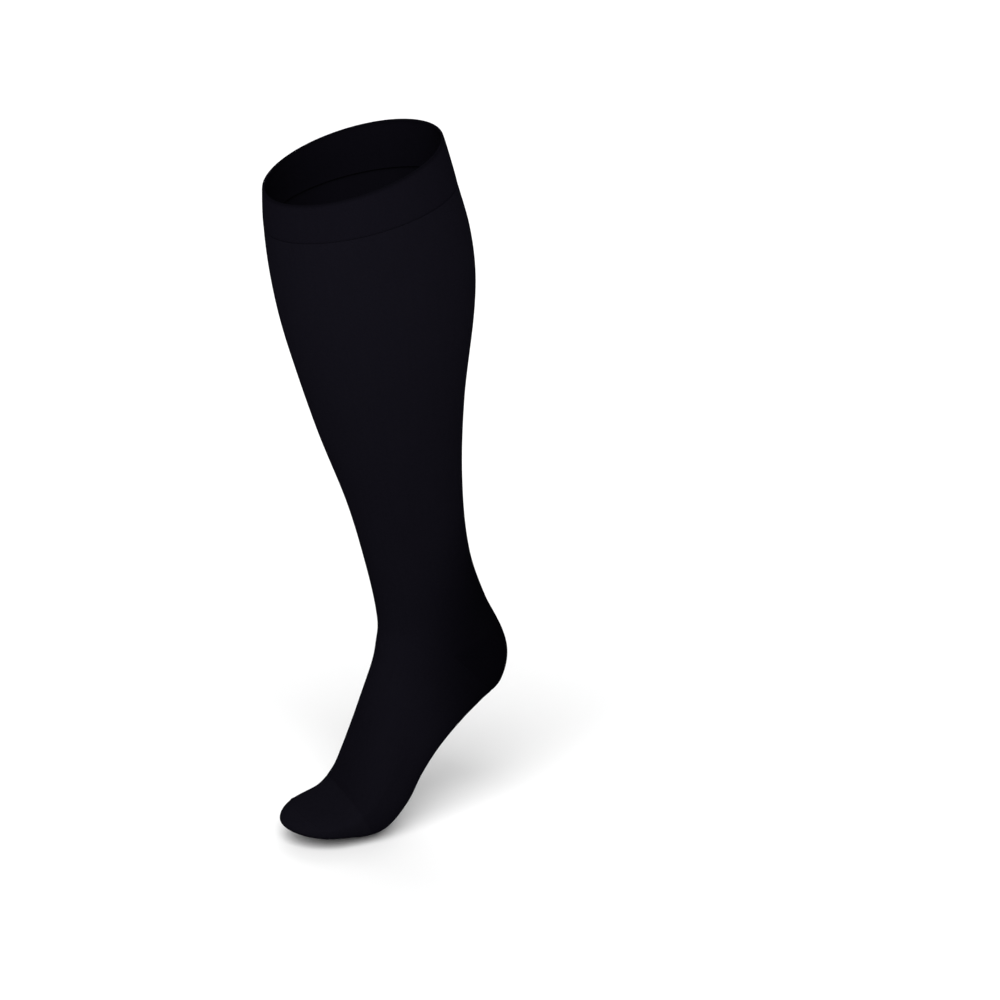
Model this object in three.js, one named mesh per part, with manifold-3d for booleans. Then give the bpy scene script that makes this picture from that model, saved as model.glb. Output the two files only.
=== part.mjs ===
// A knee-high compression stocking, worn and filled out, with the heel raised and the toes bent.
// Millimetres, +Z up. The origin is the centre of the top opening, and the toes point along -Y.
// It is posed for a right leg, so +X is the side that faces the other leg.

import * as THREE from "three";
import { mergeVertices } from "three/addons/utils/BufferGeometryUtils.js";
import Module from "manifold-3d";

// Driving sizes of the cloth.
const CLOTH = 1.2; // wall of the knitted tube, one layer of thick compression knit
const BAND_CLOTH = 2; // wall of the top band, which is turned over and so has two layers
const BAND_DEPTH = 30; // from the turned edge to where the band ends on the leg
const SEAM_GAP = 0.3; // between two pieces
const BAND_GAP = 0.36; // along the middle under the band, because the rings draw together at the shin

// The form, one row for each measuring line, which is a ring round the stocking.
// x, y, z: the ring's centre, on its widest line.
// heading: where the tube runs there, in degrees from straight down, turning towards the toes.
// roll: how far the ring dips towards +X, in degrees.
// front, back: from the centre to the shin or instep, and to the calf, heel or sole.
// width: across the ring.  flat: 2 is a round back, and more is a flatter sole with fuller corners.
const LINES = {
  rim: { x: 0, y: 0, z: 0, heading: -17, roll: 8, front: 63, back: 64, width: 110, flat: 2 },
  bandEnd: { x: -1, y: 5, z: -30, heading: -13, roll: 5, front: 66, back: 68, width: 118, flat: 2 },
  upperCalf: { x: -3, y: 11, z: -59, heading: -11, roll: 3, front: 68, back: 71, width: 122, flat: 2 },
  calf: { x: -5, y: 16, z: -89, heading: -11, roll: 3, front: 67, back: 71, width: 120, flat: 2 },
  lowerCalf: { x: -7, y: 22, z: -118, heading: -11, roll: 3, front: 65, back: 65, width: 112, flat: 2 },
  underCalf: { x: -10, y: 33, z: -177, heading: -11, roll: 3, front: 57, back: 48, width: 90, flat: 2 },
  shin: { x: -13, y: 44, z: -236, heading: -11, roll: 3, front: 46, back: 37, width: 69, flat: 2 },
  ankle: { x: -16, y: 54, z: -290, heading: -9, roll: 2, front: 41, back: 34, width: 55, flat: 2 },
  overHeel: { x: -18, y: 60, z: -324, heading: -1, roll: 1, front: 40, back: 41, width: 55, flat: 2 },
  heel: { x: -19, y: 64, z: -350, heading: 13, roll: 0, front: 43, back: 55, width: 61, flat: 2.1 },
  heelCorner: { x: -19, y: 62, z: -366, heading: 23, roll: 0, front: 45, back: 55, width: 62, flat: 2.2 },
  heelBase: { x: -19, y: 60, z: -378, heading: 31, roll: 0, front: 47, back: 43, width: 61, flat: 2.3 },
  instep: { x: -19, y: 54, z: -390, heading: 38, roll: 0, front: 45, back: 35, width: 62, flat: 2.4 },
  arch: { x: -19, y: 37, z: -411, heading: 38, roll: 0, front: 35, back: 31, width: 66, flat: 2.5 },
  waist: { x: -19, y: 24, z: -428, heading: 40, roll: 0, front: 27, back: 30, width: 72, flat: 2.6 },
  ball: { x: -18, y: 12, z: -446, heading: 44, roll: 0, front: 22, back: 31, width: 75, flat: 2.6 },
  toeBend: { x: -16, y: -1, z: -460, heading: 60, roll: 0, front: 17, back: 28, width: 76, flat: 2.6 },
  toes: { x: -15, y: -18, z: -469, heading: 80, roll: 0, front: 11, back: 15, width: 73, flat: 2.5 },
  toeTip: { x: -10, y: -57, z: -471, heading: 90, roll: 0, front: 8, back: 6, width: 62, flat: 2.4 },
};

// The nose of the toe is rounded off over these lengths, seen from above and from the side.
const NOSE_LENGTH = 34;
const NOSE_DROP = 17;

// Where the pieces meet, seen from the side. Three seams run out from the corner of the heel pocket.
const POCKET_CORNER = { y: 66, z: -356 };
const POCKET_TOP_ANGLE = 17; // up and back, between leg and heel, in degrees above level
const POCKET_BASE_ANGLE = -46; // down and back, between heel and foot
const INSTEP_ANGLE = 172; // forward over the instep, between leg and foot
const TOE_EDGE = { y: -7, z: -463 }; // where the toe cap starts
const TOE_EDGE_ANGLE = 118;
const SEAM_WIDTH = 400; // each seam is parted right across the stocking
const SEAM_REACH = 75; // and this far out from its point

// Facets: steps round a ring, and rings along the tube.
const SIDES = 32;
const BAND_RINGS = 4;
const RINGS_FOR_EACH_LINE = 3;
const NOSE_RINGS = 7;
const NOSE_TURN = 84; // degrees of the nose's round end that the rings cover
const PROBE = 0.01; // mm along or radians round, for the direction in which the wall is built inwards

const BAND_BLACK = 0x0d0c11;
const TUBE_BLACKS = { leg: 0x131218, heel: 0x07070a, foot: 0x110f16, toe: 0x121117 };

const COLUMNS = ["x", "y", "z", "heading", "roll", "front", "back", "width", "flat"];

// How far each line lies down the stocking's middle.
const rows = Object.values(LINES);
const downTo = [0];
for (let i = 1; i < rows.length; i += 1) {
  const [above, here] = [rows[i - 1], rows[i]];
  downTo.push(downTo[i - 1] + Math.hypot(here.x - above.x, here.y - above.y, here.z - above.z));
}
const TOTAL = downTo[downTo.length - 1];

// The change of a column at a row, for each millimetre down, from the rows on both sides of it.
function slope(column, i) {
  const [a, b] = [Math.max(i - 1, 0), Math.min(i + 1, rows.length - 1)];
  return (rows[b][column] - rows[a][column]) / (downTo[b] - downTo[a]);
}

// The ring at a distance down the stocking: each column is carried smoothly from row to row.
function ringAt(down) {
  const next = downTo.findIndex((d, i) => i > 0 && (down <= d || i === downTo.length - 1));
  const gap = downTo[next] - downTo[next - 1];
  const u = (down - downTo[next - 1]) / gap;
  const ring = {};
  for (const column of COLUMNS) {
    ring[column] =
      (2 * u ** 3 - 3 * u ** 2 + 1) * rows[next - 1][column] +
      (u ** 3 - 2 * u ** 2 + u) * gap * slope(column, next - 1) +
      (3 * u ** 2 - 2 * u ** 3) * rows[next][column] +
      (u ** 3 - u ** 2) * gap * slope(column, next);
  }
  return ring;
}

// How much of its size a ring keeps inside the nose, whose round end is this long.
function noseShare(down, length) {
  const into = Math.max(0, down - (TOTAL - length)) / length;
  return Math.sqrt(Math.max(0, 1 - into ** 2));
}

// A point of the outer face. The turn round the ring starts at the back and goes over +X to the front.
function skin(down, turn) {
  const ring = ringAt(down);
  const heading = THREE.MathUtils.degToRad(ring.heading);
  const roll = THREE.MathUtils.degToRad(ring.roll);
  const forward = new THREE.Vector3(0, -Math.cos(heading), Math.sin(heading));
  const across = new THREE.Vector3(Math.cos(roll), 0, -Math.sin(roll));
  const behind = Math.cos(turn) > 0;
  const power = 2 / (behind ? ring.flat : 2);
  const acrossBy = (ring.width / 2) * Math.sign(Math.sin(turn)) * Math.abs(Math.sin(turn)) ** power;
  const forwardBy = (behind ? -ring.back : ring.front) * Math.abs(Math.cos(turn)) ** power;
  return new THREE.Vector3(ring.x, ring.y, ring.z)
    .addScaledVector(across, acrossBy * noseShare(down, NOSE_LENGTH))
    .addScaledVector(forward, forwardBy * noseShare(down, NOSE_DROP));
}

// The same point moved in through the wall, square to the outer face.
function lining(down, turn, wall) {
  const along = skin(down + PROBE, turn).sub(skin(down - PROBE, turn));
  const around = skin(down, turn + PROBE).sub(skin(down, turn - PROBE));
  return skin(down, turn).addScaledVector(around.cross(along).normalize(), -wall);
}

// A closed wall between two faces, each a list of rings, open at both ends or closed at the last one.
function wallGeometry(outer, inner, closedEnd) {
  const rings = outer.length;
  const points = [...outer.flat(), ...inner.flat()];
  const at = (layer, ring, side) => (layer * rings + ring) * SIDES + (side % SIDES);
  const index = [];
  const quad = (a, b, c, d) => index.push(a, c, b, a, d, c);
  for (let ring = 0; ring < rings - 1; ring += 1) {
    for (let side = 0; side < SIDES; side += 1) {
      quad(at(0, ring, side), at(0, ring + 1, side), at(0, ring + 1, side + 1), at(0, ring, side + 1));
      quad(at(1, ring, side), at(1, ring, side + 1), at(1, ring + 1, side + 1), at(1, ring + 1, side));
    }
  }
  for (let side = 0; side < SIDES; side += 1) {
    quad(at(0, 0, side), at(0, 0, side + 1), at(1, 0, side + 1), at(1, 0, side));
    if (!closedEnd) {
      const last = rings - 1;
      quad(at(0, last, side), at(1, last, side), at(1, last, side + 1), at(0, last, side + 1));
    }
  }
  if (closedEnd) {
    for (const layer of [0, 1]) {
      const middle = points.length;
      const lastRing = [outer, inner][layer][rings - 1];
      points.push(lastRing.reduce((sum, p) => sum.add(p), new THREE.Vector3()).divideScalar(SIDES));
      for (let side = 0; side < SIDES; side += 1) {
        const pair = [at(layer, rings - 1, side), at(layer, rings - 1, side + 1)];
        index.push(middle, pair[layer], pair[1 - layer]);
      }
    }
  }
  const geometry = new THREE.BufferGeometry();
  const numbers = points.flatMap((point) => point.toArray());
  geometry.setAttribute("position", new THREE.Float32BufferAttribute(numbers, 3));
  geometry.setIndex(index);
  return geometry;
}

function wallAlong(distances, wall, closedEnd) {
  const turns = Array.from({ length: SIDES }, (_, side) => (side / SIDES) * 2 * Math.PI);
  const outer = distances.map((down) => turns.map((turn) => skin(down, turn)));
  const inner = distances.map((down) => turns.map((turn) => lining(down, turn, wall)));
  return wallGeometry(outer, inner, closedEnd);
}

function evenly(start, end, count) {
  return Array.from({ length: count + 1 }, (_, i) => start + ((end - start) * i) / count);
}

const wasm = await Module();
wasm.setup();

function toSolid(geometry) {
  const mesh = new wasm.Mesh({
    numProp: 3,
    vertProperties: new Float32Array(geometry.attributes.position.array),
    triVerts: new Uint32Array(geometry.index.array),
  });
  return new wasm.Manifold(mesh);
}

function toGeometry(solid) {
  const mesh = solid.getMesh();
  const geometry = new THREE.BufferGeometry();
  geometry.setAttribute("position", new THREE.Float32BufferAttribute(mesh.vertProperties, 3));
  geometry.setIndex([...mesh.triVerts]);
  return geometry;
}

// A thin plate that parts two pieces along a seam. From the side it runs out from a point at an angle.
function seamPlate({ y, z }, angle, outBy, backBy) {
  const plate = new THREE.BoxGeometry(SEAM_WIDTH, outBy + backBy, SEAM_GAP);
  plate.translate(0, (outBy - backBy) / 2, 0);
  plate.rotateX(THREE.MathUtils.degToRad(angle));
  plate.translate(0, y, z);
  plate.deleteAttribute("normal");
  plate.deleteAttribute("uv");
  return toSolid(mergeVertices(plate));
}

// Where the tube's rings lie: a few for each measuring line, closer together round the nose.
// The first two lines are the band's, and the last one is inside the nose.
function tubeRings() {
  const stops = [BAND_DEPTH + BAND_GAP, ...downTo.slice(2, -1), TOTAL - NOSE_LENGTH];
  const between = (stop, i) => evenly(stops[i], stop, RINGS_FOR_EACH_LINE).slice(0, -1);
  const shares = evenly(0, NOSE_TURN, NOSE_RINGS).map((angle) => Math.sin(THREE.MathUtils.degToRad(angle)));
  return [...stops.slice(1).flatMap(between), ...shares.map((share) => TOTAL - NOSE_LENGTH * (1 - share))];
}

// The knitted tube in one piece, from under the band to the toe, parted along its four seams.
function tubePieces() {
  const tube = toSolid(wallAlong(tubeRings(), CLOTH, true));
  const seams = [
    seamPlate(POCKET_CORNER, POCKET_TOP_ANGLE, SEAM_REACH, SEAM_GAP / 2),
    seamPlate(POCKET_CORNER, POCKET_BASE_ANGLE, SEAM_REACH, SEAM_GAP / 2),
    seamPlate(POCKET_CORNER, INSTEP_ANGLE, SEAM_REACH, SEAM_GAP / 2),
    seamPlate(TOE_EDGE, TOE_EDGE_ANGLE, SEAM_REACH, SEAM_REACH),
  ];
  const parted = seams.reduce((solid, plate) => solid.subtract(plate), tube).decompose();
  const height = (solid) => solid.boundingBox().max[2];
  const [leg, heel, foot, toe] = parted.sort((a, b) => height(b) - height(a));
  return { leg, heel, foot, toe };
}

function clothMaterial(shade) {
  return new THREE.MeshStandardMaterial({ color: shade, roughness: 0.85, metalness: 0 });
}

const group = new THREE.Group();

function addPiece(name, geometry, shade) {
  const mesh = new THREE.Mesh(geometry, clothMaterial(shade));
  mesh.name = name;
  group.add(mesh);
}

addPiece("top_band", wallAlong(evenly(0, BAND_DEPTH, BAND_RINGS), BAND_CLOTH, false), BAND_BLACK);
for (const [name, solid] of Object.entries(tubePieces())) {
  addPiece(name, toGeometry(solid), TUBE_BLACKS[name]);
}

export default group;
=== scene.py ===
# %% [markdown]
# # A knee-high compression stocking
#
# This lesson makes the looks of one black compression stocking, filled out as on a right leg, with the
# heel raised and the toes bent. It is thick, matt knit that is stretched smooth, so its form is nearly
# all there is to see: the tilted top edge, the swell of the calf, the narrow ankle, the heel pocket and
# the toe. Such a stocking is knitted as one tube with a turned top, a heel pocket and a closed toe. The
# lesson follows that order: the measuring lines, the tube, its seams, its pieces, the band, the knit, and
# the studio.
#
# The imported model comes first. Its nodes say where each piece is, and nothing of it is moved.

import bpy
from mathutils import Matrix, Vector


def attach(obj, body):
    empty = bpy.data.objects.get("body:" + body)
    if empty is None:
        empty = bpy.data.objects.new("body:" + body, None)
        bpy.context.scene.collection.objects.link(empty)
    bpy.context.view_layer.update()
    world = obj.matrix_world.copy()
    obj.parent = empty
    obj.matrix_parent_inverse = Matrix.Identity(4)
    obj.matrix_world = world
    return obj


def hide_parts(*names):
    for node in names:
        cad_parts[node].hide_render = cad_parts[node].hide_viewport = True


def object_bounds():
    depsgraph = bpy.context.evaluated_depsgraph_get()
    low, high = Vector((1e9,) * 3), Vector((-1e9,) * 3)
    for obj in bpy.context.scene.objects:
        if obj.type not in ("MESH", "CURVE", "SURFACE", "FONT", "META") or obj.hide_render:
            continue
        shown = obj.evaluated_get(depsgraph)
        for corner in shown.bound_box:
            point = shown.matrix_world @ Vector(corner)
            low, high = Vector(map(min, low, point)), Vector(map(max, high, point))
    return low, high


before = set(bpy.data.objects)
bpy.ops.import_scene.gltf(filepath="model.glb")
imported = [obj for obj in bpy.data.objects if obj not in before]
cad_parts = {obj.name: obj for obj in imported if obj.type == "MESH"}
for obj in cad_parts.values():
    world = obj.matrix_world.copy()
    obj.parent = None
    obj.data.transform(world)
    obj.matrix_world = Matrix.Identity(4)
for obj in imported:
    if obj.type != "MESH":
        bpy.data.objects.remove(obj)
cad_low, cad_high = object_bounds()
print("nodes:", sorted(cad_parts))
print("packed box, in mm:", [round(1000 * v) for v in (*cad_low, *cad_high)])

# %% [markdown]
# ## The measuring lines
#
# A knitter describes a stocking by its girth at a few heights. Each row below is one such ring, in
# millimetres and degrees: where its centre is, which way the tube runs there (heading, turning towards
# the toes), how far the ring dips to the side (roll), how far the cloth is in front of the centre and
# behind it, how wide it is, and how flat it is behind, which is 2 for a round back and more for a flatter
# sole. A sculpted mesh could have the same form, but a table is easier to correct, and it is the same one
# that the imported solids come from, so the looks fit them without any placing by eye.

# %% Rows of the form
import math

import bmesh
import bpy
import numpy as np
from mathutils import Vector

LINES = {
    # line         x   y   z     heading roll front back width flat
    "rim":         (0, 0, 0, -17, 8, 63, 64, 110, 2.0),
    "band end":    (-1, 5, -30, -13, 5, 66, 68, 118, 2.0),
    "upper calf":  (-3, 11, -59, -11, 3, 68, 71, 122, 2.0),
    "calf":        (-5, 16, -89, -11, 3, 67, 71, 120, 2.0),
    "lower calf":  (-7, 22, -118, -11, 3, 65, 65, 112, 2.0),
    "under calf":  (-10, 33, -177, -11, 3, 57, 48, 90, 2.0),
    "shin":        (-13, 44, -236, -11, 3, 46, 37, 69, 2.0),
    "ankle":       (-16, 54, -290, -9, 2, 41, 34, 55, 2.0),
    "over heel":   (-18, 60, -324, -1, 1, 40, 41, 55, 2.0),
    "heel":        (-19, 64, -350, 13, 0, 43, 55, 61, 2.1),
    "heel corner": (-19, 62, -366, 23, 0, 45, 55, 62, 2.2),
    "heel base":   (-19, 60, -378, 31, 0, 47, 43, 61, 2.3),
    "instep":      (-19, 54, -390, 38, 0, 45, 35, 62, 2.4),
    "arch":        (-19, 37, -411, 38, 0, 35, 31, 66, 2.5),
    "waist":       (-19, 24, -428, 40, 0, 27, 30, 72, 2.6),
    "ball":        (-18, 12, -446, 44, 0, 22, 31, 75, 2.6),
    "toe bend":    (-16, -1, -460, 60, 0, 17, 28, 76, 2.6),
    "toes":        (-15, -18, -469, 80, 0, 11, 15, 73, 2.5),
    "toe tip":     (-10, -57, -471, 90, 0, 8, 6, 62, 2.4),
}
rows = np.array(list(LINES.values()), float)
down_to = np.concatenate([[0], np.cumsum(np.linalg.norm(np.diff(rows[:, :3], axis=0), axis=1))])
TOTAL = down_to[-1]
print("lines:", len(rows), " length along the middle:", round(TOTAL), "mm")

# %% [markdown]
# ## From lines to a smooth skin
#
# Straight sides between the lines would show as bands. Each column is carried from line to line by a
# cubic curve that keeps its direction at every line, as a bent ruler would. The toe is rounded off over
# the last millimetres by a quarter circle, longer in plan than in height, which gives the flat, rounded
# nose.

# %% The skin at any place
NOSE_LENGTH = 34.0
NOSE_DROP = 23.0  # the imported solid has 17 here, but a longer one gives the slimmer tip of knitted cloth

last = len(rows) - 1
before, after = np.maximum(np.arange(last + 1) - 1, 0), np.minimum(np.arange(last + 1) + 1, last)
slopes = (rows[after] - rows[before]) / (down_to[after] - down_to[before])[:, None]


def rings_at(down):
    """The nine columns at distances down the stocking's middle, one row for each distance."""
    i = np.clip(np.searchsorted(down_to, down), 1, last)
    gap = (down_to[i] - down_to[i - 1])[:, None]
    u = (down - down_to[i - 1])[:, None] / gap
    return (
        (2 * u**3 - 3 * u**2 + 1) * rows[i - 1]
        + (u**3 - 2 * u**2 + u) * gap * slopes[i - 1]
        + (3 * u**2 - 2 * u**3) * rows[i]
        + (u**3 - u**2) * gap * slopes[i]
    )


def nose_share(down, length):
    """How much of its size a ring keeps inside the rounded nose."""
    into = np.maximum(0, down - (TOTAL - length)) / length
    return np.sqrt(np.maximum(0, 1 - into**2))


def skin(down, turn):
    """Points of the outer face, for ring distances and for turns that start at the back and go over +X."""
    x, y, z, heading, roll, front, back, width, flat = rings_at(down).T[:, :, None]
    heading, roll = np.radians(heading), np.radians(roll)
    behind = np.cos(turn) > 0
    power = 2 / np.where(behind, flat, 2)
    across = width / 2 * np.sign(np.sin(turn)) * np.abs(np.sin(turn)) ** power
    across = across * nose_share(down, NOSE_LENGTH)[:, None]
    forward = np.where(behind, -back, front) * np.abs(np.cos(turn)) ** power
    forward = forward * nose_share(down, NOSE_DROP)[:, None]
    return np.stack(
        [
            x + np.cos(roll) * across,
            y - np.cos(heading) * forward,
            z - np.sin(roll) * across + np.sin(heading) * forward,
        ],
        axis=-1,
    )


def girth(down):
    """The length round the stocking at each distance, in millimetres."""
    ring = skin(down, np.broadcast_to(np.linspace(0, 2 * np.pi, 721), (len(down), 721)))
    return np.linalg.norm(np.diff(ring, axis=1), axis=2).sum(axis=1)


for line in ("rim", "upper calf", "ankle", "ball"):
    at = down_to[list(LINES).index(line)]
    print("girth at the", line + ":", round(girth(np.array([at]))[0]), "mm")

# %% [markdown]
# ## Even wales
#
# A stocking is knitted on a ring of needles, and each needle makes one column of stitches, a wale. The
# number of wales is the same at the calf and at the ankle, and only their width changes as the tube is
# stretched. So every ring of the mesh gets the same number of points, spaced evenly by length, and a wale
# follows a column of points from the band to the toe. Evenly spaced angles would be simpler, but they
# would crowd the wales at the shin and spread them over the sole.

# %% Points of the tube
BAND_DEPTH = 30.0
SIDES = 192
TURN_STEPS = 1440
LEG_STEP = 2.0
FOOT_STEP = 1.25
FOOT_FROM = down_to[list(LINES).index("over heel")]
NOSE_RINGS = 22
NOSE_TURN = 88.0


def even_turns(down):
    """Turns that divide each ring into equal lengths."""
    fine = np.linspace(0, 2 * np.pi, TURN_STEPS + 1)
    ring = skin(down, np.broadcast_to(fine, (len(down), TURN_STEPS + 1)))
    run = np.concatenate(
        [np.zeros((len(down), 1)), np.cumsum(np.linalg.norm(np.diff(ring, axis=1), axis=2), axis=1)], axis=1
    )
    return np.array([np.interp(np.linspace(0, r[-1], SIDES + 1)[:-1], r, fine) for r in run])


nose_shares = np.sin(np.radians(np.linspace(0, NOSE_TURN, NOSE_RINGS)))
downs = np.concatenate(
    [
        np.linspace(BAND_DEPTH, FOOT_FROM, round((FOOT_FROM - BAND_DEPTH) / LEG_STEP), endpoint=False),
        np.arange(FOOT_FROM, TOTAL - NOSE_LENGTH - FOOT_STEP / 2, FOOT_STEP),
        TOTAL - NOSE_LENGTH * (1 - nose_shares),
    ]
)
tube = skin(downs, even_turns(downs))
print("tube:", tube.shape[0], "rings of", SIDES, "points")

# %% [markdown]
# ## The bend of the ankle
#
# In front of the ankle the leg and the instep meet in a hollow, where the rings crowd together and the
# skin gets a small kink. Stretched knit can't follow that: it bridges the hollow. So the front columns
# are relaxed along their length, each point moving towards the middle of its two neighbours, again and
# again. Blender's cloth simulation would do the same, but it would also move the rest of a form that
# already fits. The back and the sole are left out, because the heel would shrink. Each point takes its
# place in the knit along with it, so the rows of stitches stay even.

# %% Let the cloth bridge the bend of the ankle
BRIDGE_PASSES = 80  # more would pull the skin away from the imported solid
BRIDGE_FROM = down_to[list(LINES).index("ankle")]
BRIDGE_TO = down_to[list(LINES).index("waist")]
BRIDGE_FADE = 25.0  # mm over which the relaxing sets in and ends

in_front = np.clip(-np.cos(2 * np.pi * np.arange(SIDES) / SIDES), 0, 1)
in_bend = np.clip(np.minimum(downs - BRIDGE_FROM, BRIDGE_TO - downs) / BRIDGE_FADE, 0, 1)
loosened = 0.5 * (in_bend[:, None] * in_front[None, :])[1:-1, :, None]
knit_downs = np.broadcast_to(downs[:, None, None], (len(downs), SIDES, 1))
cloth = np.concatenate([tube, knit_downs], axis=2)
for _ in range(BRIDGE_PASSES):
    cloth[1:-1] += loosened * ((cloth[:-2] + cloth[2:]) / 2 - cloth[1:-1])
print("points moved along by up to", round(np.linalg.norm(cloth[:, :, :3] - tube, axis=2).max(), 2), "mm")
tube, knit_downs = cloth[:, :, :3], cloth[:, :, 3]

# %% [markdown]
# ## One mesh for the whole tube
#
# The tube is first made as a single skin, because its parts are knitted in one go and have to meet
# without a kink. Every face carries its place in the knit as a UV map, in wales round the tube and
# courses down it, so that the stitches of the material run with the cloth. Each point also carries three
# numbers of its own: how far down its wale it lies, which spaces the extra rows of the heel pocket, how
# stretched the knit is, and how much painted shade darkens it. The painted shade is deepest at the back
# of the heel and runs out bit by bit up the back of the leg and under the arch, so the darker heel has
# no hard edge.

# %% Number the knit
WALES = 336
COURSE = 0.62  # mm, the height of one row of stitches
RELAXED_WALE = 0.52  # mm, the width of a wale before it is stretched
FULL_STRETCH = 1.3  # how much wider a wale is where the knit is stretched most, less one
CAP_WALE = 0.62  # mm, the width of a wale on the toe cap
HEEL_SHADE_MIDDLE = (112.0, -352.0)  # y and z of the middle of the painted shade, at the back of the heel
HEEL_SHADE_FORWARD = 92.0
HEEL_SHADE_UP = 135.0
HEEL_SHADE_DOWN = 125.0
HEEL_SHADE_EDGE = 0.7  # the share of its reach over which the painted shade fades out

sides = np.arange(SIDES)
pole = tube[-1].mean(axis=0)
points = np.vstack([tube.reshape(-1, 3), pole])
steps_down = np.linalg.norm(np.diff(tube, axis=0), axis=2)
wale_run = np.vstack([np.zeros(SIDES), np.cumsum(steps_down, axis=0)])
girths = girth(downs)
stretch = np.clip((girths / WALES / RELAXED_WALE - 1) / FULL_STRETCH, 0, 1)


def knit_place(ring, side):
    """Where a point lies in the tube's knit, in wales and courses."""
    return side * WALES / SIDES, -knit_downs[ring, side % SIDES] / COURSE


def cap_place(ring, side, middle):
    """The same for the toe cap, whose wales are all as wide, counted from the middle of its top or sole."""
    return (side - middle) / SIDES * girths[ring] / CAP_WALE, -wale_run[ring, side % SIDES] / COURSE


print("a wale is", round(girths.max() / WALES, 2), "mm wide at the calf")

# %% Make the faces and give them their places in the knit
faces, tube_uv, cap_uv = [], [], []
for side in range(SIDES):
    middle = round(2 * (side + 0.5) / SIDES) * SIDES / 2
    for ring in range(len(downs) - 1):
        corners = ((ring, side), (ring, side + 1), (ring + 1, side + 1), (ring + 1, side))
        faces.append([r * SIDES + s % SIDES for r, s in corners])
        tube_uv += [knit_place(r, s) for r, s in corners]
        cap_uv += [cap_place(r, s, middle) for r, s in corners]
    corners = ((len(downs) - 1, side), (len(downs) - 1, side + 1))
    faces.append([r * SIDES + s % SIDES for r, s in corners] + [len(points) - 1])
    tube_uv += [knit_place(r, s) for r, s in corners] + [((side + 0.5) * WALES / SIDES, -TOTAL / COURSE)]
    cap_uv += [cap_place(r, s, middle) for r, s in corners] + [(0, -wale_run[-1, side] / COURSE)]

mesh = bpy.data.meshes.new("tube")
mesh.from_pydata(points.tolist(), [], faces)
for title, places in (("knit", tube_uv), ("cap knit", cap_uv)):
    mesh.uv_layers.new(name=title).data.foreach_set("uv", np.array(places, np.float32).ravel())
mesh.attributes.new("wale_run", "FLOAT", "POINT").data.foreach_set(
    "value", np.append(wale_run.ravel(), wale_run[-1].mean()).astype(np.float32)
)
mesh.attributes.new("stretch", "FLOAT", "POINT").data.foreach_set(
    "value", np.append(np.repeat(stretch, SIDES), stretch[-1]).astype(np.float32)
)
print("points:", len(points), " faces:", len(faces))

# %% Mark where shade is painted round the heel
# Painted shade: darkest at the back of the heel, fading up the back of the leg and under the arch.
behind = (points[:, 1] - HEEL_SHADE_MIDDLE[0]) / HEEL_SHADE_FORWARD
above = points[:, 2] - HEEL_SHADE_MIDDLE[1]
above = above / np.where(above > 0, HEEL_SHADE_UP, HEEL_SHADE_DOWN)
near_heel = np.clip((1 - np.hypot(behind, above)) / HEEL_SHADE_EDGE, 0, 1)
heel_shade_rim_dark = near_heel**2 * (3 - 2 * near_heel)
mesh.attributes.new("heel_shade_rim_dark", "FLOAT", "POINT").data.foreach_set("value", heel_shade_rim_dark.astype(np.float32))
print("points with painted heel shade:", int((heel_shade_rim_dark > 0).sum()))

# %% Open the mesh for the seams
mesh.attributes.new("square", "FLOAT_VECTOR", "POINT")
whole = bmesh.new()
whole.from_mesh(mesh)
bpy.data.meshes.remove(mesh)
whole.normal_update()
whole.verts.ensure_lookup_table()
print("tube faces:", len(whole.faces), " facing out:", whole.verts[0].normal.y > 0)

# %% [markdown]
# ## Seams
#
# Four things mark the tube. The heel pocket is knitted back and forth, so a fine furrow runs where it
# joins the leg and the foot, and another one, the gore line, runs back from its corner. A fainter one
# runs round the foot where the toe cap starts. The toe is closed by a linked seam, a low ridge across the
# top of the toes. They are real shape, though only a few tenths of a millimetre, so they are made in the
# mesh: extra edges are laid along each line, and the points near it are moved in or out. A bump in the
# material alone would vanish at the edge of the form.

# %% Where the seams run
POCKET_CORNER = (66.0, -356.0)
POCKET_TOP_ANGLE = 17.0
POCKET_BASE_ANGLE = -46.0
GORE_ANGLE = -14.0
INSTEP_ANGLE = 172.0
TOE_EDGE = (-7.0, -463.0)
TOE_EDGE_ANGLE = 118.0
TOE_SEAM_FRONT = (-50.0, -461.5)
TOE_SEAM_ANGLE = -28.0
SEAM_REACH = 60.0
TOE_SEAM_BEHIND = -8.0
TOE_SEAM_AHEAD = 26.0
SPARE = 2.0  # how far past a seam's ends its edges may run
NEAR_FACES = 3.0  # how far from a seam a face may lie and still be cut
WELD = 0.02


def seam_line(point, angle):
    """A seam seen from the side: its point, the way it runs, and the way square to it."""
    a = math.radians(angle)
    return Vector((0, *point)), Vector((0, math.cos(a), math.sin(a))), Vector((0, -math.sin(a), math.cos(a)))


def lay_edges(bm, seam, offsets, start, end):
    """Cuts the faces near a seam at some distances on both sides of it, between two places along it."""
    point, run, square = seam
    for offset in offsets:
        near = []
        for face in bm.faces:
            place = face.calc_center_median() - point
            ahead, aside = place.dot(run), place.dot(square) - offset
            if start - SPARE <= ahead <= end + SPARE and abs(aside) < NEAR_FACES:
                near.append(face)
        parts = set(near) | {e for f in near for e in f.edges} | {v for f in near for v in f.verts}
        place = point + offset * square
        bmesh.ops.bisect_plane(bm, geom=list(parts), dist=WELD, plane_co=place, plane_no=square)


pocket_top = seam_line(POCKET_CORNER, POCKET_TOP_ANGLE)
pocket_base = seam_line(POCKET_CORNER, POCKET_BASE_ANGLE)
gore = seam_line(POCKET_CORNER, GORE_ANGLE)
instep_line = seam_line(POCKET_CORNER, INSTEP_ANGLE)
toe_edge = seam_line(TOE_EDGE, TOE_EDGE_ANGLE)
toe_seam = seam_line(TOE_SEAM_FRONT, TOE_SEAM_ANGLE)
print("corner of the heel pocket, in mm:", POCKET_CORNER)

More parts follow.
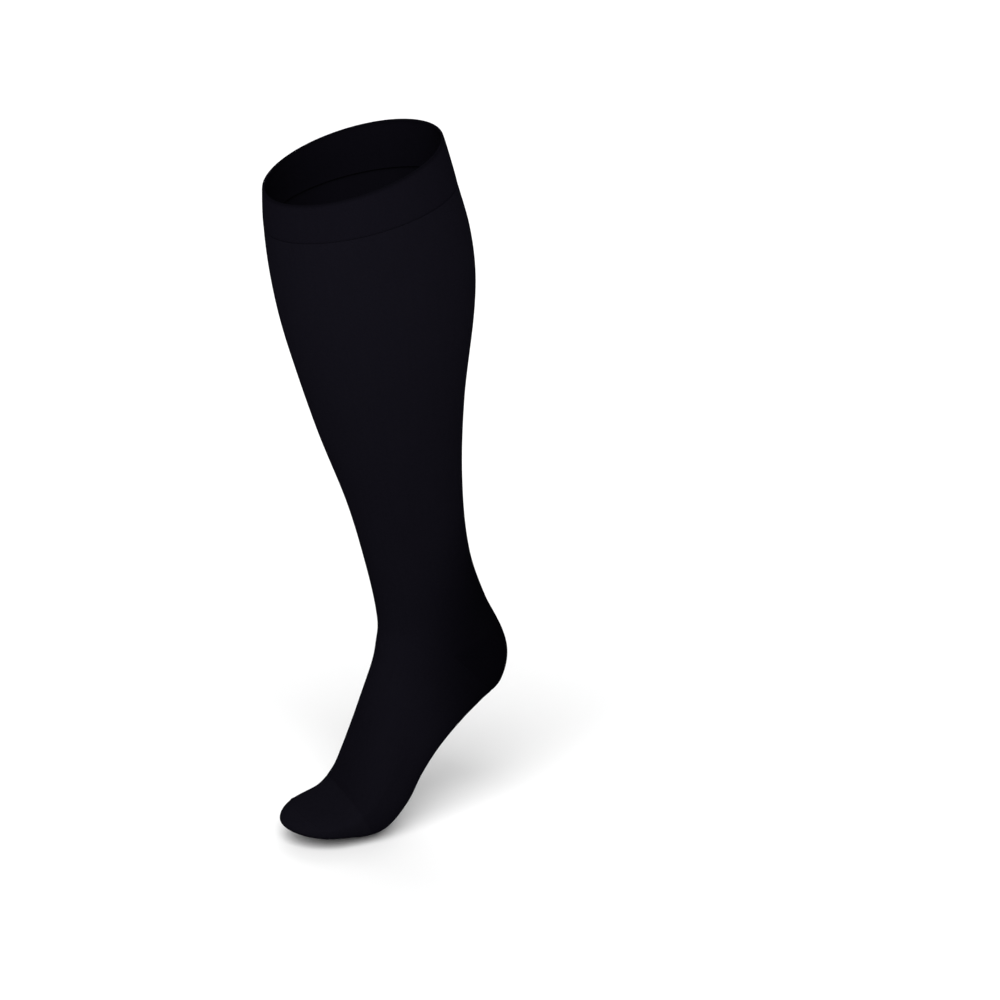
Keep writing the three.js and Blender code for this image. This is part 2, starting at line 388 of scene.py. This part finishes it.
# %% Cut the faces along them
FURROW_CUTS = (-1.0, -0.45, 0.0, 0.45, 1.0)
RIDGE_CUTS = (-1.1, -0.75, -0.4, 0.0, 0.4, 0.75, 1.1)
for heel_seam in (pocket_top, pocket_base, gore):
    lay_edges(whole, heel_seam, FURROW_CUTS, 0, SEAM_REACH)
lay_edges(whole, toe_edge, FURROW_CUTS, -SEAM_REACH, SEAM_REACH)
lay_edges(whole, toe_seam, RIDGE_CUTS, TOE_SEAM_BEHIND, TOE_SEAM_AHEAD)
print("tube faces with the seams' edges:", len(whole.faces))

# %% Sizes of the furrows and of the toe's ridge
FURROW_DEPTH = 0.22
FURROW_WIDTH = 0.7
TOE_LINE_DEPTH = 0.12
RIDGE_HEIGHT = 0.4
RIDGE_WIDTH = 0.65
HEEL_FRONT, HEEL_TOP = 52.0, -320.0  # the y and z that bound the heel's furrows
TOE_BEHIND = 30.0  # the y in front of which the toe line lies
NOSE_BEHIND = -20.0  # the same for the linked seam
SEAM_START = (-1.0, 4.0)  # the distances along a seam over which it fades in
GORE_END = (28.0, 38.0)  # the distances over which the gore line fades out
TOE_SEAM_END = (14.0, 24.0)
UPPER_FACE = (0.02, 0.3)  # how far up the cloth faces where the linked seam fades in
FLATTEST = 0.15  # keeps the distance to a seam finite where the cloth lies along it


def fade(value, span):
    """0 before the span, 1 after it, and a smooth rise inside."""
    t = min(max((value - span[0]) / (span[1] - span[0]), 0), 1)
    return t * t * (3 - 2 * t)


def beside(place, normal, seam):
    """How far a point of the cloth lies from a seam, measured on the cloth."""
    square = seam[2]
    return place.dot(square) / math.sqrt(max(1 - normal.dot(square) ** 2, FLATTEST))


def hollow(distance, width):
    return math.exp(-((distance / width) ** 2))


print("deepest furrow:", FURROW_DEPTH, "mm, highest ridge:", RIDGE_HEIGHT, "mm")

# %% Move the points near the seams
whole.normal_update()
moves = []
for vert in whole.verts:
    out = 0.0
    place = vert.co - pocket_top[0]
    if HEEL_FRONT < vert.co.y and vert.co.z < HEEL_TOP:
        for seam in (pocket_top, pocket_base):
            share = fade(place.dot(seam[1]), SEAM_START)
            out -= FURROW_DEPTH * share * hollow(beside(place, vert.normal, seam), FURROW_WIDTH)
        ahead = place.dot(gore[1])
        share = fade(ahead, SEAM_START) * (1 - fade(ahead, GORE_END))
        out -= FURROW_DEPTH * share * hollow(beside(place, vert.normal, gore), FURROW_WIDTH)
    if vert.co.y < TOE_BEHIND:
        aside = beside(vert.co - toe_edge[0], vert.normal, toe_edge)
        out -= TOE_LINE_DEPTH * hollow(aside, FURROW_WIDTH)
    if vert.co.y < NOSE_BEHIND:
        place = vert.co - toe_seam[0]
        share = fade(vert.normal.z, UPPER_FACE) * (1 - fade(place.dot(toe_seam[1]), TOE_SEAM_END))
        out += RIDGE_HEIGHT * share * hollow(beside(place, vert.normal, toe_seam), RIDGE_WIDTH)
    moves.append(vert.normal * out)
for vert, move in zip(whole.verts, moves):
    vert.co += move
whole.normal_update()
square_layer = whole.verts.layers.float_vector["square"]
for vert in whole.verts:
    vert[square_layer] = vert.normal
print("points moved for seams:", sum(move.length > 0.01 for move in moves))

# %% [markdown]
# ## The four pieces of the tube
#
# The tube is parted where the maker changes the knit: the leg ends above the heel pocket and across the
# instep, the foot runs from there to the toe cap, and the heel and toe are the parts between. Each piece
# is cut from the same skin by planes, so the edges of neighbours match point by point, and the shading is
# kept from before the cut, so no false line shows over the instep. Then each gets a wall of real cloth: a
# second skin inside, and a rim that joins the two.

# %% A helper that parts the tube
MM = 0.001
CLOTH = 1.2
CUT_WELD = 1e-4


def part_of(keeps):
    """A copy of the tube with only what lies on the kept side of each plane."""
    part = whole.copy()
    for point, keep in keeps:
        geom = part.verts[:] + part.edges[:] + part.faces[:]
        bmesh.ops.bisect_plane(
            part, geom=geom, dist=CUT_WELD, plane_co=point, plane_no=keep, clear_inner=True
        )
    return part


print("the cloth is", CLOTH, "mm thick")


# %% A helper that gives a part its wall
def thick_piece(name, part):
    """Turns a skin into a closed wall and makes it an object, in metres."""
    square, uv = part.verts.layers.float_vector["square"], part.loops.layers.uv["knit"]
    number = {vert: i for i, vert in enumerate(part.verts)}
    outer = np.array([vert.co for vert in part.verts])
    normals = np.array([vert[square].normalized() for vert in part.verts])
    numbers = {}
    # Each point's stretch, and the painted shade round the heel, go over to the wall.
    for title in ("stretch", "heel_shade_rim_dark"):
        layer = part.verts.layers.float[title]
        numbers[title] = [vert[layer] for vert in part.verts]
    count = len(outer)
    polygons, uvs = [], []
    for face in part.faces:
        ring, places = [number[v] for v in face.verts], [tuple(loop[uv].uv) for loop in face.loops]
        polygons += [ring, [i + count for i in reversed(ring)]]
        uvs += places + places[::-1]
    for edge in part.edges:
        if len(edge.link_loops) == 1:
            loop = edge.link_loops[0]
            a, b = number[loop.vert], number[loop.link_loop_next.vert]
            here, there = tuple(loop[uv].uv), tuple(loop.link_loop_next[uv].uv)
            polygons.append([b, a, a + count, b + count])
            uvs += [there, here, here, there]
    points = np.vstack([outer, outer - CLOTH * normals]) * MM
    made = bpy.data.meshes.new(name)
    made.from_pydata(points.tolist(), [], polygons)
    made.uv_layers.new(name="knit").data.foreach_set("uv", np.array(uvs, np.float32).ravel())
    for title, values in numbers.items():
        layer = made.attributes.new(title, "FLOAT", "POINT")
        layer.data.foreach_set("value", np.array(values * 2, np.float32))
    made.polygons.foreach_set("use_smooth", [True] * len(made.polygons))
    made.normals_split_custom_set_from_vertices(np.vstack([normals, -normals]).tolist())
    made.update()
    piece = bpy.data.objects.new(name, made)
    bpy.context.collection.objects.link(piece)
    box = [(corner_of / MM).round() for corner_of in (points.min(0), points.max(0))]
    print(name + ":", len(polygons), "faces, box in mm", *box)
    return piece


# %% Part the tube
corner = pocket_top[0]
above_pocket, below_pocket = pocket_top[2], -pocket_top[2]
leg_part = part_of([(corner, above_pocket), (corner, -instep_line[2])])
heel_part = part_of([(corner, below_pocket), (corner, pocket_base[2])])
foot_part = part_of([(corner, -pocket_base[2]), (corner, instep_line[2]), (toe_edge[0], -toe_edge[2])])
toe_part = part_of([(toe_edge[0], toe_edge[2])])
for title, part in (("leg", leg_part), ("heel", heel_part), ("foot", foot_part), ("toe", toe_part)):
    print(title + ":", len(part.faces), "faces")

# %% [markdown]
# The extra rows of the heel pocket fan out over its back, so its courses are spaced by the length of each
# wale and not by the middle of the tube. A toe cap is narrowed at its two sides: the middle wales of its
# top and sole run straight to the tip, and the outer ones end at the side, one after the other. So the
# cap takes its own map, in which all wales are as wide.

# %% Lay out the knit of the heel and the toe
uv_layer, run_layer = heel_part.loops.layers.uv["knit"], heel_part.verts.layers.float["wale_run"]
for face in heel_part.faces:
    for loop in face.loops:
        loop[uv_layer].uv.y = -(BAND_DEPTH + loop.vert[run_layer]) / COURSE
uv_layer, cap_layer = toe_part.loops.layers.uv["knit"], toe_part.loops.layers.uv["cap knit"]
for face in toe_part.faces:
    for loop in face.loops:
        loop[uv_layer].uv = loop[cap_layer].uv
print("rows down the back of the heel:", round(wale_run[-1, 0] / COURSE), "from the band to the tip")

# %% Make the four pieces
leg = thick_piece("leg_cloth", leg_part)
heel = thick_piece("heel_cloth", heel_part)
foot = thick_piece("foot_cloth", foot_part)
toe = thick_piece("toe_cloth", toe_part)

# %% [markdown]
# ## The top band
#
# The top is a double welt: the knit is turned over to the inside and linked down 30 mm below the edge. It
# is thicker than the leg, its edge is a soft roll and not a cut, and it stands a little proud of the leg.
# A thickened strip would have a square edge, so the band is a profile swept round the rim: up the
# outside, over the roll, down the inside and back under the hem.

# %% The band's profile
BAND_CLOTH = 2.0
ROLL_STEPS = 10
BAND_STEP = 1.5
ROLL_CLEAR = 0.4  # the straight outside stops this far short of the roll
BAND_SWELL = 0.25  # how far the middle of the band stands out
HEM_ROUND = 0.25
BAND_COURSE = 0.5  # mm, its rows are a little closer than the tube's
FOLD_REACH = 1.8  # how far down from the turned edge the cloth is made darker
FOLD_SHADE = 0.7


def band_profile():
    """(down, in) places of the band's section, from its lower outer edge round to its lower inner edge."""
    roll = BAND_CLOTH / 2
    up = [
        (down, -BAND_SWELL * math.sin(math.pi * down / BAND_DEPTH) ** 0.5)
        for down in np.arange(BAND_DEPTH - HEM_ROUND, roll + ROLL_CLEAR, -BAND_STEP)
    ]
    over = [
        (roll - roll * math.sin(a), roll - roll * math.cos(a))
        for a in np.linspace(0, math.pi, ROLL_STEPS + 1)
    ]
    inside = [(down, BAND_CLOTH) for down in np.arange(roll + BAND_STEP, BAND_DEPTH - HEM_ROUND, BAND_STEP)]
    hem = [
        (BAND_DEPTH - HEM_ROUND, BAND_CLOTH),
        (BAND_DEPTH, BAND_CLOTH - HEM_ROUND),
        (BAND_DEPTH, HEM_ROUND),
    ]
    return np.array(up + over + inside + hem)


profile = band_profile()
print("profile of", len(profile), "places, length round it:",
      round(np.linalg.norm(np.diff(profile, axis=0), axis=1).sum()), "mm")

# %% Sweep it round the rim
PROBE = 0.01  # mm to both sides, to find which way the skin runs
band_downs = profile[:, 0]
band_turns = even_turns(band_downs)
face_of = skin(band_downs, band_turns)
along = skin(band_downs + PROBE, band_turns) - skin(band_downs - PROBE, band_turns)
around = np.roll(face_of, -1, axis=1) - np.roll(face_of, 1, axis=1)
outward = np.cross(around, along)
outward /= np.linalg.norm(outward, axis=2, keepdims=True)
from_middle = face_of - face_of.mean(axis=1, keepdims=True)
outward *= np.sign((outward * from_middle).sum(axis=(1, 2)))[:, None, None]
band_points = (face_of - outward * profile[:, 1][:, None, None]) * MM
run = np.concatenate([[0], np.cumsum(np.linalg.norm(np.diff(profile, axis=0), axis=1))]) / BAND_COURSE
print("band points:", band_points.shape[0] * band_points.shape[1])

# %% Make the band
faces, uvs = [], []
for i in range(len(profile)):
    j = (i + 1) % len(profile)
    top = run[j] if j else run[i] + 1
    for side in range(SIDES):
        k = (side + 1) % SIDES
        u, v = side * WALES / SIDES, (side + 1) * WALES / SIDES
        faces.append((i * SIDES + side, i * SIDES + k, j * SIDES + k, j * SIDES + side))
        uvs += [(u, run[i]), (v, run[i]), (v, top), (u, top)]
made = bpy.data.meshes.new("top_band_cloth")
made.from_pydata(band_points.reshape(-1, 3).tolist(), [], faces)
made.uv_layers.new(name="knit").data.foreach_set("uv", np.array(uvs, np.float32).ravel())
band_stretch = np.clip((girth(band_downs) / WALES / RELAXED_WALE - 1) / FULL_STRETCH, 0, 1)
turned_edge = FOLD_SHADE * np.exp(-((band_downs / FOLD_REACH) ** 2))
# The band's darkening towards its turned edge goes in the same number as the painted heel shade.
for title, values in (("stretch", band_stretch), ("heel_shade_rim_dark", turned_edge)):
    layer = made.attributes.new(title, "FLOAT", "POINT")
    layer.data.foreach_set("value", np.repeat(values, SIDES).astype(np.float32))
made.polygons.foreach_set("use_smooth", [True] * len(made.polygons))
turned = bmesh.new()
turned.from_mesh(made)
bmesh.ops.recalc_face_normals(turned, faces=turned.faces)
turned.to_mesh(made)
turned.free()
band = bpy.data.objects.new("top_band_cloth", made)
bpy.context.collection.objects.link(band)
print("band:", len(faces), "faces")

# %% [markdown]
# ## The knit
#
# Up close the cloth is plain knit: columns of small V-shaped loops. They are far too small to model, so
# the material makes them from the UV map. Inside each wale the two legs of a loop lean together, so the
# rows are shifted by how far a place is from the wale's middle, and each leg is rounded across. The same
# height darkens the valleys, where less light gets in. Slow noise along the wales gives the slight
# unevenness of real yarn, and stretched cloth is a touch lighter, because its loops are open.

# %% A node group for plain knit
LOOP_ROUNDING = 0.6  # below 1, the legs of a loop have a broad top and steep sides
LOOP_LEAN = 1.1  # how many courses a leg rises from the middle of its wale to the edge
ROW_RELIEF = 0.55  # the share of the height that comes from the rows


def calculator(tree):
    """Returns a helper that adds one Math node and returns its output."""

    def calc(operation, *values):
        node = tree.nodes.new("ShaderNodeMath")
        node.operation = operation
        for place, value in zip(node.inputs, values):
            if isinstance(value, (int, float)):
                place.default_value = value
            else:
                tree.links.new(value, place)
        return node.outputs[0]

    return calc


def knit_group():
    """Height of plain knit, 0 in the valleys and 1 on the loops, at a place in wales and courses."""
    tree = bpy.data.node_groups.new("plain knit", "ShaderNodeTree")
    tree.interface.new_socket(name="Place", in_out="INPUT", socket_type="NodeSocketVector")
    tree.interface.new_socket(name="Height", in_out="OUTPUT", socket_type="NodeSocketFloat")
    start, end = tree.nodes.new("NodeGroupInput"), tree.nodes.new("NodeGroupOutput")
    split = tree.nodes.new("ShaderNodeSeparateXYZ")
    tree.links.new(start.outputs["Place"], split.inputs[0])
    calc = calculator(tree)
    off_middle = calc("ABSOLUTE", calc("SUBTRACT", calc("FRACT", split.outputs["X"]), 0.5))
    leg_across = calc("SINE", calc("MULTIPLY", off_middle, 2 * math.pi))
    rounded = calc("POWER", calc("MAXIMUM", leg_across, 0.0), LOOP_ROUNDING)
    leaning = calc("ADD", split.outputs["Y"], calc("MULTIPLY", off_middle, LOOP_LEAN))
    row = calc("ADD", calc("MULTIPLY", calc("COSINE", calc("MULTIPLY", leaning, 2 * math.pi)), 0.5), 0.5)
    height = calc("MULTIPLY", rounded, calc("ADD", calc("MULTIPLY", row, ROW_RELIEF), 1 - ROW_RELIEF))
    tree.links.new(height, end.inputs["Height"])
    return tree


plain_knit = knit_group()
print("knit group nodes:", len(plain_knit.nodes))

# %% [markdown]
# ## The finishes
#
# The yarn is black nylon with a cool, faintly violet cast, spun to be matt. Light sinks in between the
# filaments, so the cloth has no gloss at all, and the shader's specular part is turned off. A sheen would
# make a pale edge that this cloth doesn't have. The four finishes share one recipe, from the colour of the
# valleys, which holds painted shade in the hollows of the knit, and of the loops: the leg and foot are the
# plain one, the band is a little darker, as two layers are, the heel is as dark as the band, because it is
# knitted tightest, and the toe is the lightest, partly for its thicker cap and partly as painted light on
# the top of the toes. Painted shade darkens the cloth on top of that, most at the back of the heel, and
# fades up the back of the leg and under the arch. It is a number on every point of the mesh, so its soft
# edge runs over the leg, the heel and the foot without a step.

# %% How light the yarn is, with the painted shade at the heel
HEEL_SHADE_DARK = 0.6  # how much of its light the cloth loses where the painted heel shade is deepest
STRETCH_LIGHT = 0.25
BASE_SHADE = 0.9
STREAK_SCALE = (0.35, 0.012, 1)  # long along the wales, narrow across them
PATCH_SCALE = 22.0


def slow_noise(tree, where, scale, detail):
    """A noise that changes slowly from place to place."""
    noise = tree.nodes.new("ShaderNodeTexNoise")
    noise.inputs["Scale"].default_value = scale
    noise.inputs["Detail"].default_value = detail
    tree.links.new(where, noise.inputs["Vector"])
    return noise.outputs[0]


def point_number(tree, title):
    """A number that every point of the mesh carries."""
    node = tree.nodes.new("ShaderNodeAttribute")
    node.attribute_name = title
    return node.outputs["Fac"]


def yarn_shade(tree, place, unevenness):
    """Streaks along the wales, soft patches, the effect of stretch, the painted shade at the heel, and the
    darkening towards the band's turned edge.
    """
    calc = calculator(tree)
    streak_place = tree.nodes.new("ShaderNodeMapping")
    streak_place.inputs["Scale"].default_value = STREAK_SCALE
    tree.links.new(place, streak_place.inputs["Vector"])
    streaks = slow_noise(tree, streak_place.outputs[0], 1.0, 3.0)
    patches = slow_noise(tree, tree.nodes.new("ShaderNodeTexCoord").outputs["Object"], PATCH_SCALE, 2.0)
    shade = calc("ADD", calc("MULTIPLY", streaks, unevenness), calc("MULTIPLY", patches, unevenness))
    shade = calc("ADD", calc("MULTIPLY", point_number(tree, "stretch"), STRETCH_LIGHT), shade)
    shade = calc("ADD", shade, BASE_SHADE - unevenness)
    # Painted shade darkens the cloth at the back of the heel, up the back of the leg and under the arch; the
    # same number also darkens the band towards its turned edge.
    kept = calc("SUBTRACT", 1.0, calc("MULTIPLY", point_number(tree, "heel_shade_rim_dark"), HEEL_SHADE_DARK))
    return calc("MULTIPLY", shade, kept)


print("light kept at the back of the heel:", 1 - HEEL_SHADE_DARK)

# %% A recipe for the finishes
LOOP_RELIEF = 0.00018  # m, the height of a loop over its valley
MATT = 0.85


def knit_finish(name, valley_shade, loop, relief, unevenness):
    """A matt knit, from the colour of its valleys, which holds painted shade, and of its loops, its relief
    and its unevenness.
    """
    material = bpy.data.materials.new(name)
    material.use_nodes = True
    tree = material.node_tree
    nodes, links = tree.nodes, tree.links
    shader = nodes["Principled BSDF"]
    place = nodes.new("ShaderNodeUVMap")
    place.uv_map = "knit"
    knit = nodes.new("ShaderNodeGroup")
    knit.node_tree = plain_knit
    links.new(place.outputs[0], knit.inputs["Place"])

    # Painted shade: the knit's height mixes the darker valley colour into its hollows, where less light gets
    # in.
    tone = nodes.new("ShaderNodeMix")
    tone.data_type = "RGBA"
    tone.inputs["A"].default_value = (*valley_shade, 1)
    tone.inputs["B"].default_value = (*loop, 1)
    links.new(knit.outputs["Height"], tone.inputs["Factor"])
    colour = nodes.new("ShaderNodeVectorMath")
    colour.operation = "SCALE"
    links.new(tone.outputs["Result"], colour.inputs[0])
    links.new(yarn_shade(tree, place.outputs[0], unevenness), colour.inputs["Scale"])
    links.new(colour.outputs[0], shader.inputs["Base Color"])

    bump = nodes.new("ShaderNodeBump")
    bump.inputs["Strength"].default_value = relief
    bump.inputs["Distance"].default_value = LOOP_RELIEF
    links.new(knit.outputs["Height"], bump.inputs["Height"])
    links.new(bump.outputs[0], shader.inputs["Normal"])

    shader.inputs["Roughness"].default_value = MATT
    shader.inputs["Specular IOR Level"].default_value = 0.0
    return material


# %% The four finishes
# The valley colours are painted shade in the hollows of the knit.
FINISH_VALUES = {
    # finish      valley                    loop                      relief unevenness
    "band_knit": ((0.0019, 0.0017, 0.0028), (0.0056, 0.0051, 0.0082), 0.6, 0.10),
    "tube_knit": ((0.0021, 0.0019, 0.0031), (0.0062, 0.0057, 0.0090), 0.7, 0.12),
    "heel_knit": ((0.0018, 0.0016, 0.0026), (0.0056, 0.0051, 0.0082), 0.7, 0.10),
    # The toe is lighter partly for its thicker cap and partly as painted light on the top of the toes.
    "toe_knit": ((0.0025, 0.0023, 0.0036), (0.0074, 0.0069, 0.0107), 0.7, 0.12),
}
FINISHES = {name: knit_finish(name, *values) for name, values in FINISH_VALUES.items()}
print("finishes:", list(FINISHES))

# %% [markdown]
# ## Every piece on its place
#
# The stocking has no joints, so all pieces ride on the root. Each one stands for the imported solid of the
# same part, and its worn area is set against the size that it was knitted to. The knit comes off the
# machine about a third narrower and a tenth shorter than it is when it is worn.

# %% The cuts, and how the cloth is measured
def cloth_area(piece):
    """Half of a closed wall's surface, which is the area of the cloth, in square metres."""
    return sum(face.area for face in piece.data.polygons) / 2


CUTS = {
    # piece, node, slot, (flat width all round, length) in m, flat area in m2, what it hangs from
    "top band": (band, "top_band", "band_knit", (0.270, 0.030), None, []),
    "leg": (leg, "leg", "tube_knit", (0.297, 0.296), 0.0664, ["top_band_cloth"]),
    "heel": (heel, "heel", "heel_knit", (0.105, 0.054), 0.0031, ["leg_cloth"]),
    "foot": (foot, "foot", "tube_knit", (0.165, 0.125), 0.0180, ["leg_cloth"]),
    "toe": (toe, "toe", "toe_knit", (0.150, 0.052), 0.0053, ["foot_cloth"]),
}
print("cuts:", list(CUTS))

for title, (piece, node, slot_name, flat, area, hangs_from) in CUTS.items():
    piece.data.materials.append(FINISHES[slot_name])
    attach(piece, "root")
    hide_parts(node)
    worn = cloth_area(piece)
    cut = area or flat[0] * flat[1]
    print(title + ": worn", round(worn, 5), "m2, which is", round(worn / cut, 2), "of its cut")

# %% [markdown]
# ## The studio
#
# Black cloth shows its form only if the light comes mostly from one side. A broad soft key, like a big
# softbox above the camera and a little to its left, lights the calf and the top of the toes, and a weaker
# pale surround keeps the heel from going flat black. A second, weaker light from the opposite side keeps
# the hidden half readable from other sides. The floor is plain and pale. The camera looks from the
# inner side, a little from above, with a long lens.

# %% The floor
FLOOR_REACH = 30.0
FLOOR_CORNERS = ((-1, -1), (1, -1), (1, 1), (-1, 1))
FLOOR_PALE = 0.86
floor_mesh = bpy.data.meshes.new("floor")
floor_points = [(x * FLOOR_REACH, y * FLOOR_REACH, cad_low.z) for x, y in FLOOR_CORNERS]
floor_mesh.from_pydata(floor_points, [], [(0, 1, 2, 3)])
floor = bpy.data.objects.new("floor", floor_mesh)
bpy.context.collection.objects.link(floor)
pale = bpy.data.materials.new("pale_floor")
pale.use_nodes = True
paper = pale.node_tree.nodes["Principled BSDF"]
paper.inputs["Base Color"].default_value = (FLOOR_PALE, FLOOR_PALE, FLOOR_PALE, 1)
paper.inputs["Roughness"].default_value = 0.9
paper.inputs["Specular IOR Level"].default_value = 0.1
floor.data.materials.append(pale)
print("floor at z =", round(cad_low.z, 4), "m")

# %% The lights
SURROUND = 0.35
world = bpy.data.worlds.new("studio")
world.use_nodes = True
world.node_tree.nodes["Background"].inputs["Color"].default_value = (1, 1, 1, 1)
world.node_tree.nodes["Background"].inputs["Strength"].default_value = SURROUND
bpy.context.scene.world = world

KEY_FROM = Vector((0.82, -0.46, 0.98))
KEY_STRENGTH = 3.45
BACK_FROM = Vector((-0.92, 0.39, 0.50))
BACK_STRENGTH = 1.3
SOFTNESS = math.radians(55)


def soft_light(name, comes_from, strength):
    """A sun lamp as wide as a softbox, so its shadows have no edge."""
    lamp = bpy.data.lights.new(name, "SUN")
    lamp.energy = strength
    lamp.angle = SOFTNESS
    light = bpy.data.objects.new(name, lamp)
    light.rotation_euler = comes_from.to_track_quat("Z", "Y").to_euler()
    bpy.context.collection.objects.link(light)


soft_light("key", KEY_FROM, KEY_STRENGTH)
soft_light("back", BACK_FROM, BACK_STRENGTH)
print("key", KEY_STRENGTH, " back", BACK_STRENGTH, " surround", SURROUND)

# %% The camera
AZIMUTH, ELEVATION = math.radians(67), math.radians(18)
EYE = (1.7476, -0.6358, 0.3683)
FOCAL_PIXELS = 2850
IMAGE_PIXELS = 1000
SENSOR = 36.0
level = math.cos(ELEVATION)
backwards = Vector((math.sin(AZIMUTH) * level, -math.cos(AZIMUTH) * level, math.sin(ELEVATION)))
lens = bpy.data.cameras.new("camera")
lens.sensor_width = SENSOR
lens.lens = FOCAL_PIXELS / IMAGE_PIXELS * SENSOR
camera = bpy.data.objects.new("camera", lens)
camera.location = EYE
camera.rotation_euler = backwards.to_track_quat("Z", "Y").to_euler()
bpy.context.collection.objects.link(camera)
bpy.context.scene.camera = camera
bpy.context.scene.view_settings.view_transform = "Standard"
print("lens:", round(lens.lens, 1), "mm")
